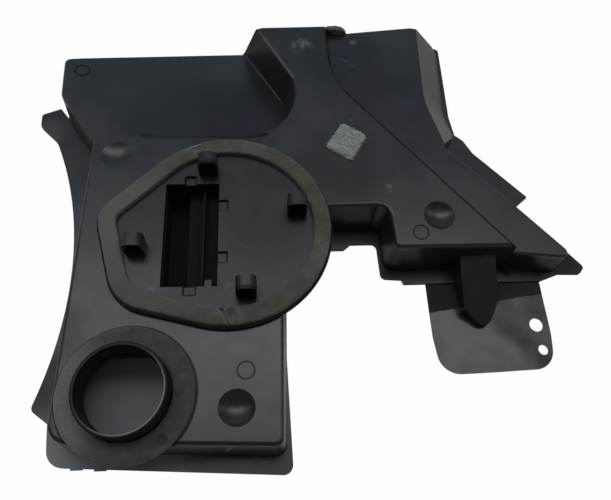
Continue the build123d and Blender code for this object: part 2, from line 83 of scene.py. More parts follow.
class Shader:
    def __init__(self, name, kind="materials", place="Object"):
        self.material = getattr(bpy.data, kind).new(name)
        self.material.use_nodes = True
        self.tree = self.material.node_tree
        self.tree.nodes.clear()
        self.place = self.node("TexCoord", out=place)

    def node(self, kind, settings=None, inputs=None, out=0):
        made = self.tree.nodes.new("ShaderNode" + kind)
        for key, value in (settings or {}).items():
            setattr(made, key, value)
        for key, value in (inputs or {}).items():
            if isinstance(value, Sock):
                self.tree.links.new(value.out, made.inputs[key])
            else:
                made.inputs[key].default_value = value
        return Sock(self, made.outputs[out])

    def turned(self, turn, scale, shift=(0, 0, 0)):
        return self.node("Mapping", {}, {"Vector": self.place, "Rotation": turn,
                                         "Scale": scale, "Location": shift})

    def cloud(self, size, detail, roughness, where=None, warp=0.0):  # size in metres
        return self.node("TexNoise", {}, {"Vector": where or self.place, "Scale": 1 / size,
                                          "Detail": detail, "Roughness": roughness,
                                          "Distortion": warp}, out="Fac")

    def cells(self, size, out="Distance"):
        return self.node("TexVoronoi", {}, {"Vector": self.place, "Scale": 1 / size}, out=out)

    def mix(self, factor, first, second):
        sides = [(*c, 1) if isinstance(c, tuple) else c for c in (first, second)]
        return self.node("Mix", {"data_type": "RGBA"}, {0: factor, 6: sides[0], 7: sides[1]},
                         out=2)

    def vectors(self, kind, first, second, out=0):
        return self.node("VectorMath", {"operation": kind}, {0: first, 1: second}, out=out)

    def away(self, centre):  # distance from a point given in mm
        return self.vectors("DISTANCE", self.place, tuple(v * mm for v in centre), "Value")

    def near(self, centre, reach, ragged=None):  # 1 at the centre, fading to 0 at the reach
        away = self.away(centre)
        if ragged is not None:
            away = away + (ragged - 0.5) * (reach * mm * 0.9)
        return 1 - away.spread(reach * mm * 0.35, reach * mm)

    def along(self, start, end, width, ragged):  # 1 on the line between two points
        a, b = Vector(start) * mm, Vector(end) * mm
        way = (b - a).normalized()
        side = Vector((-way.y, way.x, 0))
        length = (b - a).length
        offset = self.vectors("SUBTRACT", self.place, tuple(a))
        run = self.vectors("DOT_PRODUCT", offset, tuple(way), "Value")
        off = self.vectors("DOT_PRODUCT", offset, tuple(side), "Value")
        off = (off + (ragged - 0.5) * (width * mm * 3)).size()
        ends = run.spread(0, length * 0.15) * (1 - run.spread(length * 0.8, length))
        return (1 - off.spread(width * mm * 0.3, width * mm * 0.7)) * ends

    def part(self, axis):  # one coordinate of the place, in metres
        return self.node("SeparateXYZ", {}, {0: self.place}, out=axis)

    def boxOff(self, centre, half):  # distance outside a box, negative within it
        return largest([(self.part(axis) - middle * mm).size() - reach * mm
                        for axis, middle, reach in zip("XYZ", centre, half)])

    def seam(self, points, width):  # 1 along a line through points seen from above
        flat = self.vectors("MULTIPLY", self.place, (1, 1, 0))
        runs = []
        for a, b in zip(points, points[1:]):
            a, b = Vector((*a, 0)) * mm, Vector((*b, 0)) * mm
            way = b - a
            offset = self.vectors("SUBTRACT", flat, tuple(a))
            share = self.vectors("DOT_PRODUCT", offset, tuple(way / way.length_squared), "Value")
            foot = self.node("VectorMath", {"operation": "SCALE"},
                             {0: tuple(way), "Scale": share.clamp()})
            off = self.vectors("DISTANCE", offset, foot, "Value")
            runs.append(1 - off.spread(width * mm * 0.25, width * mm * 0.75))
        return largest(runs)

    def ring(self, centre, radius, width):  # 1 on a thin ring drawn round a centre
        off = (self.away(centre) - radius * mm).size()
        return 1 - off.spread(width * mm * 0.35, width * mm * 0.75)

    def bump(self, height, strength, distance, under=None):
        links = {"Height": height, "Strength": strength, "Distance": distance}
        if under is not None:
            links["Normal"] = under
        return self.node("Bump", {}, links)

    def finish(self, colour, roughness, normal, fixed, paintedShade=None, shadeSurface=None):
        links = {"Base Color": colour, "Roughness": roughness, "Normal": normal, **fixed}
        surface = self.node("BsdfPrincipled", {}, links)
        if shadeSurface:  # a second, darker and rougher shader for painted shade, seen where the painted shade mask is 1
            second = self.node("BsdfPrincipled", {}, {**shadeSurface, "Normal": normal})
            surface = self.node("MixShader", {}, {0: paintedShade, 1: surface, 2: second})
        self.output(surface)
        return self.material

    def output(self, surface, kind="Material"):
        last = self.tree.nodes.new("ShaderNodeOutput" + kind)
        self.tree.links.new(surface.out, last.inputs["Surface"])


# moulded plastic: near black with a blue cast, a fine grain, handling haze and a few scratches.
# Places are in mm. A spot is (centre, reach, strength), a line (points from above, width,
# strength), a box (centre, half its sides, strength).
bodyLook = {
    "dark": (0.0070, 0.0080, 0.0090),
    "worn": (0.0165, 0.0180, 0.0195),
    # pale dust, also the colour of the painted highlights
    "dustAndHighlight": (0.16, 0.165, 0.165),
    # painted shade: colour, roughness and shine of the darker shader mixed in where shade falls
    "paintedShade": (0.0080, 0.0085, 0.0094), "paintedShadeRough": 0.8, "paintedShadeGloss": 0.04,
    "rough": 0.30, "gloss": 0.30,
    "grain": 0.00040, "grainDepth": 0.035,
    "hazeSize": 0.050, "sinkSize": 0.07,
    "speckSize": 0.0062, "speckRare": 0.93,
    # turn, stretch and shift of the three sets of hairline scratches
    "hairlines": [(0.5, 34, 0.1), (-0.9, 46, 0.7), (1.9, 30, 0.4)],
    "scuffs": [((0.5, 128.5, 35), 11), ((41, 144, 25), 4), ((-60, -152, 33), 4),
               ((53.0, 7.5, 33), 5)],
    "scratches": [((31.0, 127.5, 25), (35, 124, 25), 0.6), ((36, 121, 25), (43, 119, 25), 0.5),
                  ((40, 145, 25), (42, 143, 25), 0.8), ((-53, -151.5, 34), (-47, -150, 34), 0.6),
                  ((-33, -157, 20), (-29, -156.5, 20), 0.6), ((30, 64, 35), (34, 61, 35), 0.4)],
    # paler spots: painted light on the flange at the lower left and below the collar ring, and a
    # paler patch on the left ear
    "paleSpots": [((-146, -150, 2.5), 30, 0.60), ((-184, 76, 2.5), 16, 0.14),
              ((-84, -160, 3), 14, 0.35)],
    # moulded round marks: centre, radius, width and strength
    "marks": [((-103.5, -141.0, 2.5), 5.2, 0.9, 0.25), ((-40.6, -110.0, 35), 4.9, 0.9, 0.7),
              ((70.5, -25.1, 35), 4.9, 0.9, 0.7), ((-155.0, 105.2, 34.1), 4.9, 0.9, 0.7)],
    # painted shade along the ridge's step and the wing's low edge
    "shadeLines": [([(19.6, 166), (20.8, 117), (24.2, 101.2), (30.0, 88.8), (136.5, -42.2)],
                   3.6, 0.85),
                  ([(-110, 49.4), (-40, 48.7), (-27, 50.3)], 3.2, 0.75)],
    # painted shade on patches that lie dark: by the wing and its top wall, on the left flange and
    # the face, and at the tip
    "shadeSpots": [((-34, 152, 28), 22, 0.4), ((-164, -104, 3), 28, 0.6),
                  ((-158, -62, 3), 28, 0.45), ((-150, -85, 35), 28, 0.35),
                  ((-48, 78, 26), 52, 0.35), ((16, 20, 35), 46, 0.25),
                  ((45, 112, 25), 46, 0.22), ((176, -34, 3), 16, 0.3)],
    # painted shade rings that count only inside a box: centre, radius, width, strength, box
    "shadeArcs": [((*collarMiddle, 53.0), 24.2, 3.4, 0.8, ((*collarMiddle, 53), (30, 30, 3))),
                 ((*collarMiddle, 35.0), 38.1, 1.5, 0.8, ((*collarMiddle, 35), (60, 60, 5)))],
    # painted shade in boxes: inside the collar, and on the walls and flange at the lower right
    "shadeBoxes": [((*collarMiddle, 42.3), (25.3, 25.3, 9.8), 0.8),
                  ((65.5, -62, 14), (47.5, 48, 16), 0.35),
                  ((122, -75, 14), (12, 35, 16), 0.45),
                  ((163, -65, 9.5), (32, 45, 11.5), 0.45)],
    "shadeOutlines": [],  # boxes whose edges get painted shade lines
    # painted highlight along the rim of the wing's wall: points from above, width, strength
    "litLines": [([(-39, 158.5), (-6.6, 100)], 1.2, 0.35)],
    # painted highlight rings: centre, radius, width, strength, and the spot that they fade round
    "litRings": [((*collarMiddle, 53.0), 23.4, 0.6, 0.5, ((-90, -138, 53), 42))],
    # the floor seen through the collar is painted pale, partly as dust and partly as painted light
    # that lifts the shade the collar wall throws on its far side, so it is paler from its near to
    # its far side
    "collarFloorDustAndLight": {"spot": ((-105.6, -124, 2.5), 60), "low": 4.0, "high": 6.0,
                    "nearSide": -130.0, "farSide": -96.0,
                    "near": (0.14, 0.15, 0.16), "far": (0.36, 0.39, 0.40)},
    "pit": None,
}


# painted shade: a darker, rougher shader mixed in at inner corners, gaps, recesses, rims and walls
# that lie in shade, with the moulded ring marks drawn as dark rings
def paintedShadePlaces(s, look):
    paintedShade = largest([(1 - s.boxOff(centre, half).spread(-0.0003, 0.0012)) * strength
                    for centre, half, strength in look["shadeBoxes"]])
    for centre, radius, width, strength in look["marks"]:
        paintedShade = paintedShade + s.ring(centre, radius, width) * strength
    for points, width, strength in look["shadeLines"]:
        paintedShade = paintedShade + s.seam(points, width) * strength
    for centre, reach, strength in look["shadeSpots"]:
        paintedShade = paintedShade + s.near(centre, reach) * strength
    for centre, radius, width, strength, box in look["shadeArcs"]:
        paintedShade = paintedShade + s.ring(centre, radius, width) * (s.boxOff(*box) < 0) * strength
    for centre, half in look["shadeOutlines"]:
        paintedShade = paintedShade + (1 - s.boxOff(centre, half).size().spread(0.0003, 0.0008)) * 0.9
    return paintedShade


def mouldedPlastic(name, look):
    s = Shader(name)
    haze = s.cloud(look["hazeSize"], 4.0, 0.6, warp=0.3)
    patch = s.cloud(look["hazeSize"] * 0.3, 5.0, 0.65, warp=0.5)
    grain = s.cloud(look["grain"], 2.0, 0.5)
    sink = s.cloud(look["sinkSize"], 1.0, 0.4)
    chance = s.node("SeparateColor", {}, {0: s.cells(look["speckSize"], "Color")})
    specks = (1 - s.cells(look["speckSize"]).spread(0.03, 0.07)) * (chance > look["speckRare"])
    scratches = 0
    for turn, stretch, shift in look["hairlines"]:
        drawnOut = s.turned((0, 0, turn), (1, stretch, 1), (shift, shift, 0))
        scratches = scratches + s.cloud(0.018, 2.0, 0.5, where=drawnOut).spread(0.73, 0.79)
    scratches = (scratches * patch.spread(0.56, 0.70)).clamp()
    marks = specks * 0.30
    for centre, reach in look["scuffs"]:
        marks = marks + s.near(centre, reach, patch) * patch.spread(0.44, 0.58) * 0.85
    for start, end, width in look["scratches"]:
        marks = marks + s.along(start, end, width, patch) * 0.6
    marks = marks.clamp()
    base = s.mix(haze.spread(0.42, 0.72) * 0.55, look["dark"], look["worn"])
    base = s.mix(scratches * 0.10, base, look["dustAndHighlight"])
    base = s.mix(marks * 0.50, base, look["dustAndHighlight"])
    for centre, reach, strength in look["paleSpots"]:  # paler spots, on the body painted light on the flange at the lower left and below the collar ring
        base = s.mix(s.near(centre, reach) * strength * (0.85 + haze * 0.3), base, look["dustAndHighlight"])
    roughness = look["rough"] + (haze - 0.5) * 0.20 + (patch - 0.5) * 0.16 + scratches * 0.08 \
        + marks * 0.2
    # the painted shade mask
    paintedShade = paintedShadePlaces(s, look)
    # painted highlights: lines and rings mixed toward the pale colour, with no painted shade under
    # the rings
    for points, width, strength in look["litLines"]:
        base = s.mix(s.seam(points, width) * strength, base, look["dustAndHighlight"])
    for centre, radius, width, strength, spot in look["litRings"]:
        lit = s.ring(centre, radius, width) * s.near(*spot)
        base = s.mix(lit * strength, base, look["dustAndHighlight"])
        paintedShade = paintedShade * (1 - lit)
    # painted light and dust on the floor under the collar, which also loses its shine there
    floorDustAndLight = look["collarFloorDustAndLight"]
    if floorDustAndLight:
        under = 1 - s.part("Z").spread(floorDustAndLight["low"] * mm, floorDustAndLight["high"] * mm)
        under = s.near(*floorDustAndLight["spot"]) * under
        slide = s.part("Y").spread(floorDustAndLight["nearSide"] * mm, floorDustAndLight["farSide"] * mm)
        base = s.mix(under, base, s.mix(slide, floorDustAndLight["near"], floorDustAndLight["far"]))
        roughness = roughness + under * 0.7
    pit = look["pit"]
    if pit:  # painted shade: deep places below the plate are darker and lose their shine, as its rim does
        deep = 1 - s.part("Z").spread(pit["low"] * mm, pit["high"] * mm)
        base = s.mix(deep, base, pit["colour"])
        roughness = roughness + deep * 0.6
        rim = 1 - s.part("Z").spread(pit["rimLow"] * mm, pit["rimHigh"] * mm)
        paintedShade = paintedShade + rim * s.boxOff(*pit["well"]).spread(0, 0.001) * 0.75
    wave = s.bump(sink, 0.45, 0.0012)
    skin = s.bump(grain, look["grainDepth"], 0.0004, wave)
    hurt = s.bump(1 - (scratches + marks).clamp(), 0.04, 0.0002, skin)
    # the painted shade shader is mixed in by the painted shade mask
    return s.finish(base, roughness.clamp(0.14, 0.95), hurt, {"Specular IOR Level": look["gloss"]},
                    paintedShade.clamp() * 0.95,
                    {"Base Color": (*look["paintedShade"], 1), "Roughness": look["paintedShadeRough"],
                     "Specular IOR Level": look["paintedShadeGloss"]})


bodyPlastic = mouldedPlastic("bodyPlastic", bodyLook)

# the socket plate's plastic is less blue and less glossy
plateLook = {
    **bodyLook,
    "dark": (0.0070, 0.0078, 0.0082), "worn": (0.020, 0.021, 0.021),
    "rough": 0.35, "gloss": 0.22, "hazeSize": 0.026,
    "scuffs": [((-49, -62, 38), 5), ((-96, -62, 38), 4)],
    "scratches": [((-48, -30, 38), (-42, -34, 38), 0.3)],
    "paleSpots": [((-104, -54, 38), 26, 0.10)],
    "marks": [], "litLines": [], "litRings": [], "collarFloorDustAndLight": None,
    # painted shade: lines along the gap at the gasket's outer edge, a darker patch, arcs round the
    # gasket's curves, boxes at the hood fronts, before their openings and at the catches, and lines
    # round the catches
    "shadeLines": [([(-96.1, 23.8), (-125.2, -4.6)], 1.8, 0.9),
                  ([(-130.0, -22.2), (-121.1, -55.3)], 1.8, 0.9),
                  ([(-101.1, -75.2), (-67.6, -84.0)], 1.8, 0.9)],
    "shadeSpots": [((-28, -22, 38), 34, 0.2)],
    "shadeArcs": [((-51.3, -22.0, 38), 63.9, 1.8, 0.9, ((-16, -22, 38), (80, 80, 4))),
                 ((-112.5, -17.5, 38), 17.9, 1.8, 0.9, ((-134, -14, 38), (10, 10, 4))),
                 ((-94.0, -48.0, 38), 27.9, 1.8, 0.9, ((-115, -70, 38), (15, 16, 4)))],
    "shadeBoxes": [((-64.2, 16.0, 50), (7, 1.2, 6), 0.8), ((-63.4, 13.8, 38), (4.4, 1.5, 1), 0.8),
                  ((-40.2, -67.6, 50), (7, 1.2, 6), 0.8), ((-39.2, -69.8, 38), (4.4, 1.5, 1), 0.8),
                  ((-8.0, -16.0, 38), (4.6, 1.4, 1), 0.7),
                  ((-105.4, -41.8, 38), (4.4, 1.5, 1), 0.7)],
    "shadeOutlines": [((-75.6, 11.3, 38), (3.5, 3.2, 4)), ((-73.8, -62.3, 38), (3.6, 3.2, 4)),
                 ((-55.2, -5.9, 38), (3.2, 3.4, 4)), ((-55.2, -41.7, 38), (3.2, 3.4, 4))],
    # painted shade in the well below the plate and on its rim
    "pit": {"low": 32.6, "high": 35.6, "colour": (0.0050, 0.0050, 0.0056),
            "rimLow": 37.2, "rimHigh": 37.8, "well": ((-69, -25, 38), (22, 43, 9))},
}
platePlastic = mouldedPlastic("platePlastic", plateLook)


# foam: open little cells, crushed and dusty in patches
def foam(name, look):
    s = Shader(name)
    pores = s.cells(look["pore"])
    fine = s.cloud(look["pore"] * 0.5, 3.0, 0.7)
    patch = s.cloud(look["patch"], 5.0, 0.65, warp=0.3)
    broad = s.cloud(look["patch"] * 4, 2.0, 0.5)
    holes = 1 - pores.spread(0.05, 0.5)
    base = s.mix(patch.spread(0.36, 0.68), look["dark"], look["pale"])
    base = s.mix(broad.spread(0.45, 0.7) * look["mottle"], base, look["dustAndHighlight"])
    grit = 1 - s.cells(look["pore"] * 1.5).spread(0.08, 0.32)
    for centre, reach, strength in look["faded"]:
        base = s.mix(s.near(centre, reach) * strength, base, look["dustAndHighlight"])
    for centre, reach, strength in look["worn"]:
        worn = s.near(centre, reach, patch) * patch.spread(0.38, 0.6)
        base = s.mix(worn * strength, base, look["dustAndHighlight"])
        base = s.mix(s.near(centre, reach) * grit * 0.45, base, look["grit"])
    base = s.mix(holes * 0.35, base, look["dark"])
    for points, width, colour in look["slits"]:  # cuts painted dark as the shade in them, and painted highlights on the raised lips beside them
        base = s.mix(s.seam(points, width), base, colour)
    for centre, reach, strength in look["stains"]:
        base = s.mix(s.near(centre, reach, patch) * strength, base, look["stain"])
    roughness = 0.86 + (patch - 0.5) * 0.15
    lumps = s.bump(patch, 0.5, 0.0011)
    skin = s.bump(fine + pores, 0.55, 0.00035, lumps)
    return s.finish(base, roughness.clamp(0.6, 1.0), skin,
                    {"Specular IOR Level": 0.25, "Sheen Weight": 0.15})


gasketFoam = foam("gasketFoam", {
    "pore": 0.0010, "patch": 0.008, "mottle": 0.5,
    "dark": (0.040, 0.037, 0.030), "pale": (0.058, 0.054, 0.045),
    "dustAndHighlight": (0.078, 0.076, 0.068), "grit": (0.12, 0.12, 0.11), "stain": (0.012, 0.014, 0.013),
    "faded": [((-130, -20, 42), 66, 0.95)],
    "worn": [((-52, -78, 42), 12, 0.8), ((-75, 34, 42), 8, 0.4), ((4, -38, 42), 12, 0.6)],
    # slits: painted shade in the cuts, and painted highlights on the lips beside the top one and
    # the joint
    "slits": [([(-80.4, 34.6), (-70.2, 38.4)], 1.5, (0.004, 0.004, 0.004)),
              ([(-75.5, 35.1), (-70.0, 37.0)], 1.0, (0.12, 0.12, 0.10)),
              ([(-74.6, 34.0), (-69.7, 35.9)], 0.8, (0.006, 0.006, 0.005)),
              ([(-55.6, -75.4), (-52.8, -76.9)], 1.6, (0.008, 0.008, 0.007)),
              ([(-52.2, -76.2), (-51.4, -79.6)], 1.3, (0.11, 0.11, 0.10))],
    "stains": [((-49.8, -77.6, 42), 4.5, 0.7), ((-29, -74.5, 42), 4, 0.35)],
})
ringFoam = foam("ringFoam", {
    "pore": 0.0008, "patch": 0.004, "mottle": 0.12,
    "dark": (0.030, 0.031, 0.029), "pale": (0.046, 0.047, 0.043),
    "dustAndHighlight": (0.100, 0.105, 0.104), "grit": (0.20, 0.21, 0.21), "stain": (0.008, 0.009, 0.009),
    "faded": [((-143, -122, 39), 46, 0.85)],
    "worn": [((-141, -118, 39), 24, 0.95), ((-134, -140, 39), 16, 0.7)],
    "slits": [],
    "stains": [((-84.0, -146.0, 39), 5, 0.6)],
})
edgeFoam = foam("edgeFoam", {
    "pore": 0.0012, "patch": 0.005, "mottle": 0.5,
    "dark": (0.014, 0.015, 0.016), "pale": (0.042, 0.046, 0.048),
    "dustAndHighlight": (0.13, 0.135, 0.14), "grit": (0.18, 0.18, 0.18), "stain": (0.01, 0.01, 0.01),
    "faded": [],
    "worn": [((30, 152, 31), 11, 0.9)],
    "slits": [],
    "stains": [],
})

# felt: pale grey, matted
feltLook = {"dark": (0.135, 0.145, 0.135), "pale": (0.36, 0.38, 0.355),
            "dirt": (0.075, 0.078, 0.074), "matSize": 0.0021, "patchSize": 0.009}


def felt(name, look):
    s = Shader(name)
    mat = s.cloud(look["matSize"], 4.0, 0.7, warp=1.6)
    patch = s.cloud(look["patchSize"], 3.0, 0.6)
    base = s.mix(mat.spread(0.38, 0.62), look["dark"], look["pale"])
    base = s.mix(patch.spread(0.56, 0.75) * 0.45, base, look["dirt"])
    return s.finish(base, 0.93 + (mat - 0.5) * 0.1, s.bump(mat, 0.8, 0.0006),
                    {"Specular IOR Level": 0.15, "Sheen Weight": 0.3})


feltPadLook = felt("feltPadLook", feltLook)
feltHairLook = felt("feltHairLook", {**feltLook, "dark": (0.30, 0.315, 0.30),
                                     "pale": (0.48, 0.50, 0.48)})

# flap: a thin glossy sheet, a little dusty, with the body's shade on it painted as a darker, duller
# strip across its top
flapLook = {
    "dark": (0.010, 0.011, 0.011), "pale": (0.030, 0.032, 0.030), "shadeBand": (0.0045, 0.005, 0.0065),
    "rough": 0.22, "gloss": 0.27, "hazeSize": 0.024, "smearSize": 0.02, "waveSize": 0.030,
    "shadeBandLeft": (78.7, -68.0), "shadeBandRight": (156.9, -56.4),  # ends of the painted shade's lower edge
}


def glossySheet(name, look):
    s = Shader(name)
    haze = s.cloud(look["hazeSize"], 4.0, 0.6, warp=0.5)
    fine = s.cloud(0.0015, 3.0, 0.6)
    wave = s.cloud(look["waveSize"], 1.5, 0.4)
    smear = s.cloud(look["smearSize"], 3.0, 0.6, where=s.turned((0, 0, 0.9), (1, 2.5, 1)))
    base = s.mix(haze.spread(0.40, 0.72), look["dark"], look["pale"])
    roughness = look["rough"] + smear.spread(0.45, 0.75) * 0.06 + (haze - 0.5) * 0.10 \
        + (fine - 0.5) * 0.05
    # painted shade: the body's shade on the flap, a darker, duller strip on the body's side of a
    # slanted line
    left, right = look["shadeBandLeft"], look["shadeBandRight"]
    rise = (right[1] - left[1]) / (right[0] - left[0])
    edge = s.part("Y") - s.part("X") * rise - (left[1] - left[0] * rise) * mm
    shadeBand = (edge + (s.cloud(0.006, 2.0, 0.5) - 0.5) * 0.0016).spread(-0.0003, 0.0003)
    base = s.mix(shadeBand, base, look["shadeBand"])
    roughness = roughness + shadeBand * 0.55
    normal = s.bump(fine, 0.05, 0.0003, s.bump(wave, 0.35, 0.0022, s.bump(shadeBand, 0.3, 0.0002)))
    return s.finish(base, roughness.clamp(0.08, 0.9), normal, {"Specular IOR Level": look["gloss"]})


flapSheet = glossySheet("flapSheet", flapLook)
print("materials made:", len(bpy.data.materials))


def putInScene(name, data):
    made = bpy.data.objects.new(name, data)
    bpy.context.scene.collection.objects.link(made)
    return made


def addPiece(name, data, node=None):
    piece = putInScene(name, data)
    if node:
        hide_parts(node)
    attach(piece, "root")
    return piece


def meshPiece(name, verts, faces, material, node, crisp=None):
    data = bpy.data.meshes.new(name)
    data.from_pydata([tuple(v) for v in verts], [], faces)
    bm = bmesh.new()
    bm.from_mesh(data)
    bmesh.ops.remove_doubles(bm, verts=bm.verts, dist=1e-6)
    bmesh.ops.recalc_face_normals(bm, faces=bm.faces)
    bm.to_mesh(data)
    bm.free()
    for polygon in data.polygons:
        polygon.use_smooth = True
    if crisp:  # degrees past which an edge stays sharp
        data.set_sharp_from_angle(angle=math.radians(crisp))
    data.materials.append(material)
    return addPiece(name, data, node)


def circle(centre, radius, count):
    turns = [2 * math.pi * k / count for k in range(count)]
    return [Vector((centre[0] + radius * math.cos(turn), centre[1] + radius * math.sin(turn)))
            for turn in turns]


def middleOf(loop):
    return sum(loop, Vector((0, 0))) / len(loop)


def resample(points, step):  # closed loop of 2D points, evenly spaced
    loop = [Vector(p) for p in points]
    runs = [(loop[(i + 1) % len(loop)] - p).length for i, p in enumerate(loop)]
    total = sum(runs)
    count = max(8, int(total / step))
    out, i, walked = [], 0, 0.0
    for k in range(count):
        target = total * k / count
        while walked + runs[i] < target:
            walked += runs[i]
            i += 1
        t = (target - walked) / runs[i]
        out.append(loop[i].lerp(loop[(i + 1) % len(loop)], t))
    return out


def hullOutline(circles):  # outline drawn tight round circles, as (centre, radius) pairs
    cloud = [point for centre, radius in circles for point in circle(centre, radius, 240)]
    return [cloud[i] for i in convex_hull_2d(cloud)]


def outwardNormals(loop):  # of a closed loop
    area = sum(a.x * b.y - b.x * a.y for a, b in zip(loop, loop[1:] + loop[:1]))
    sign = 1 if area > 0 else -1
    found = []
    for i in range(len(loop)):
        way = (loop[(i + 1) % len(loop)] - loop[i - 1]).normalized()
        found.append(Vector((way.y, -way.x)) * sign)
    return found


def rough(point, size, seed=0.0):  # smooth noise from -1 to 1, lumps of the size in mm
    return noise.noise(Vector((point[0] / size + seed, point[1] / size - seed, point[2] / size)))


def softSection(width, height, shoulder):  # section of a foam strip, up one side and over
    half = width / 2
    low = [(half, 0.0), (half, height * 0.45)]
    bends = []
    for k in range(1, 4):
        turn = math.pi / 8 * k
        bends.append((half - shoulder + shoulder * math.cos(turn),
                      height - shoulder + shoulder * math.sin(turn)))
    top = [(shoulder - half + (width - 2 * shoulder) * k / 8, height) for k in range(1, 8)]
    mirrored = [(-across, up) for across, up in low + bends]
    return mirrored + top + bends[::-1] + low[::-1]


def foamStrip(name, path, normals, foot, look, material, node, closed):
    section = softSection(look["width"], look["height"], look["shoulder"])
    half = look["width"] / 2
    slant = look.get("slant", 0.0)  # how far the outer edge leads at an open strip's two ends
    verts, faces = [], []
    for i, (p, n) in enumerate(zip(path, normals)):
        nearEnd = 0.0 if closed else max(0.0, 1 - min(i, len(path) - 1 - i) / look["slantRows"])
        for across, up in section:
            slide = slant * nearEnd * across / half
            spot = (p.x + n.x * across - n.y * slide, p.y + n.y * across + n.x * slide, foot + up)
            side = abs(across) / half
            push = (rough(spot, look["lump"], look["seed"]) - 0.5) * look["ragged"] * side
            dent = rough(spot, look["lump"] * 2, look["sagSeed"]) * 0.5 - 0.5
            sag = dent * look["sag"] * (up / look["height"])
            sign = 1 if across > 0 else -1
            verts.append(Vector((spot[0] + n.x * push * sign, spot[1] + n.y * push * sign,
                                 spot[2] + sag)) * mm)
    m = len(section)
    rows = len(path)
    for i in range(rows if closed else rows - 1):
        a, b = i * m, ((i + 1) % rows) * m
        for k in range(m):
            faces.append((a + k, a + (k + 1) % m, b + (k + 1) % m, b + k))
    if not closed:
        faces.append(tuple(range(m)))
        faces.append(tuple((rows - 1) * m + k for k in reversed(range(m))))
    return meshPiece(name, verts, faces, material, node)


# gasket on the socket plate, one length whose ends butt together
gasketShape = {
    "circles": [((-51.3, -22.0), 63.5), ((-112.5, -17.5), 17.5), ((-94.0, -48.0), 27.5)],
    "joint": (-52.0, -78.0), "jointGap": 0.14, "step": 1.4,
    "strip": {"width": 10.5, "height": 4.0, "shoulder": 0.8, "lump": 5.5, "ragged": 0.32,
              "sag": 0.35, "seed": 2.0, "sagSeed": 5.1, "slant": 3.2, "slantRows": 6},
}
halfStrip = gasketShape["strip"]["width"] / 2
outline = resample(hullOutline([(c, r - halfStrip) for c, r in gasketShape["circles"]]),
                   gasketShape["step"])
outwards = outwardNormals(outline)
cutAt = min(range(len(outline)), key=lambda i: (outline[i] - Vector(gasketShape["joint"])).length)
path = outline[cutAt:] + outline[:cutAt + 1]
ways = outwards[cutAt:] + outwards[:cutAt + 1]
for end, inner in ((0, 1), (-1, -2)):
    path[end] = path[end] + (path[inner] - path[end]).normalized() * gasketShape["jointGap"]
gasketLength = foamStrip("gasketLength1", path, ways, level["plate"], gasketShape["strip"],
                         gasketFoam, "plate_gasket", False)
print("gasket laid:", len(path), "rows")

# foam ring round the collar, with a nick in its lower right edge
ringShape = {
    "inner": 25.25, "rows": 200,
    "nick": (-84.8, -145.3), "nickSize": 2.2, "nickDepth": 1.4,
    "strip": {"width": 12.25, "height": 4.0, "shoulder": 1.1, "lump": 3.2, "ragged": 0.35,
              "sag": 0.4, "seed": 7.0, "sagSeed": 5.1},
}
around = circle(collarMiddle, ringShape["inner"] + ringShape["strip"]["width"] / 2,
                ringShape["rows"])
collarRing = foamStrip("collarRing", around, outwardNormals(around), level["face"],
                       ringShape["strip"], ringFoam, "collar_gasket", True)
nick = Vector((*ringShape["nick"], level["ringTop"])) * mm
for vertex in collarRing.data.vertices:
    away = (vertex.co - nick).length / (ringShape["nickSize"] * mm)
    if away < 1:
        vertex.co.z -= (1 - away) * ringShape["nickDepth"] * mm
print("collar ring made")


def sheetFrom(edge, holes, step):  # triangles filling an outline, with inner points
    rounds = [(middleOf(hole), (hole[0] - middleOf(hole)).length) for hole in holes]
    points, edges = [], []
    for loop in [edge] + holes:
        start = len(points)
        points += [Vector(p) for p in loop]
        edges += [(start + i, start + (i + 1) % len(loop)) for i in range(len(loop))]
    xs, ys = [p.x for p in edge], [p.y for p in edge]
    row = 0
    y = min(ys) + step / 2
    while y < max(ys):
        x = min(xs) + (step / 2 if row % 2 else step)
        while x < max(xs):
            spot = Vector((x, y))
            if min((spot - p).length for p in edge) > step * 0.55 \
                    and all((spot - c).length > radius + step * 0.5 for c, radius in rounds):
                points.append(spot)
            x += step
        y += step * 0.87
        row += 1
    verts, _, faces, _, _, _ = delaunay_2d_cdt(points, edges, [], 1, 1e-4)
    kept = []
    for face in faces:
        centre = sum((verts[i] for i in face), Vector((0, 0))) / len(face)
        if all((centre - c).length >= radius * 0.98 for c, radius in rounds):
            kept.append(tuple(face))
    return verts, kept


def thickSheet(name, flat, faces, underside, topside, material, node, crisp=None,
               upright=False):
    count = len(flat)
    verts = [Vector((p.x, p.y, side(p))) * mm for side in (underside, topside) for p in flat]
    if upright:  # drawn flat, then stood against a wall that faces up the page
        verts = [Vector((v.x, v.z, v.y)) for v in verts]
    solid = [tuple(reversed(f)) for f in faces] + [tuple(i + count for i in f) for f in faces]
    sides = [pair for f in faces for pair in zip(f, f[1:] + f[:1])]
    inner = set(sides)
    solid += [(a, b, b + count, a + count) for a, b in sides if (b, a) not in inner]
    return meshPiece(name, verts, solid, material, node, crisp)


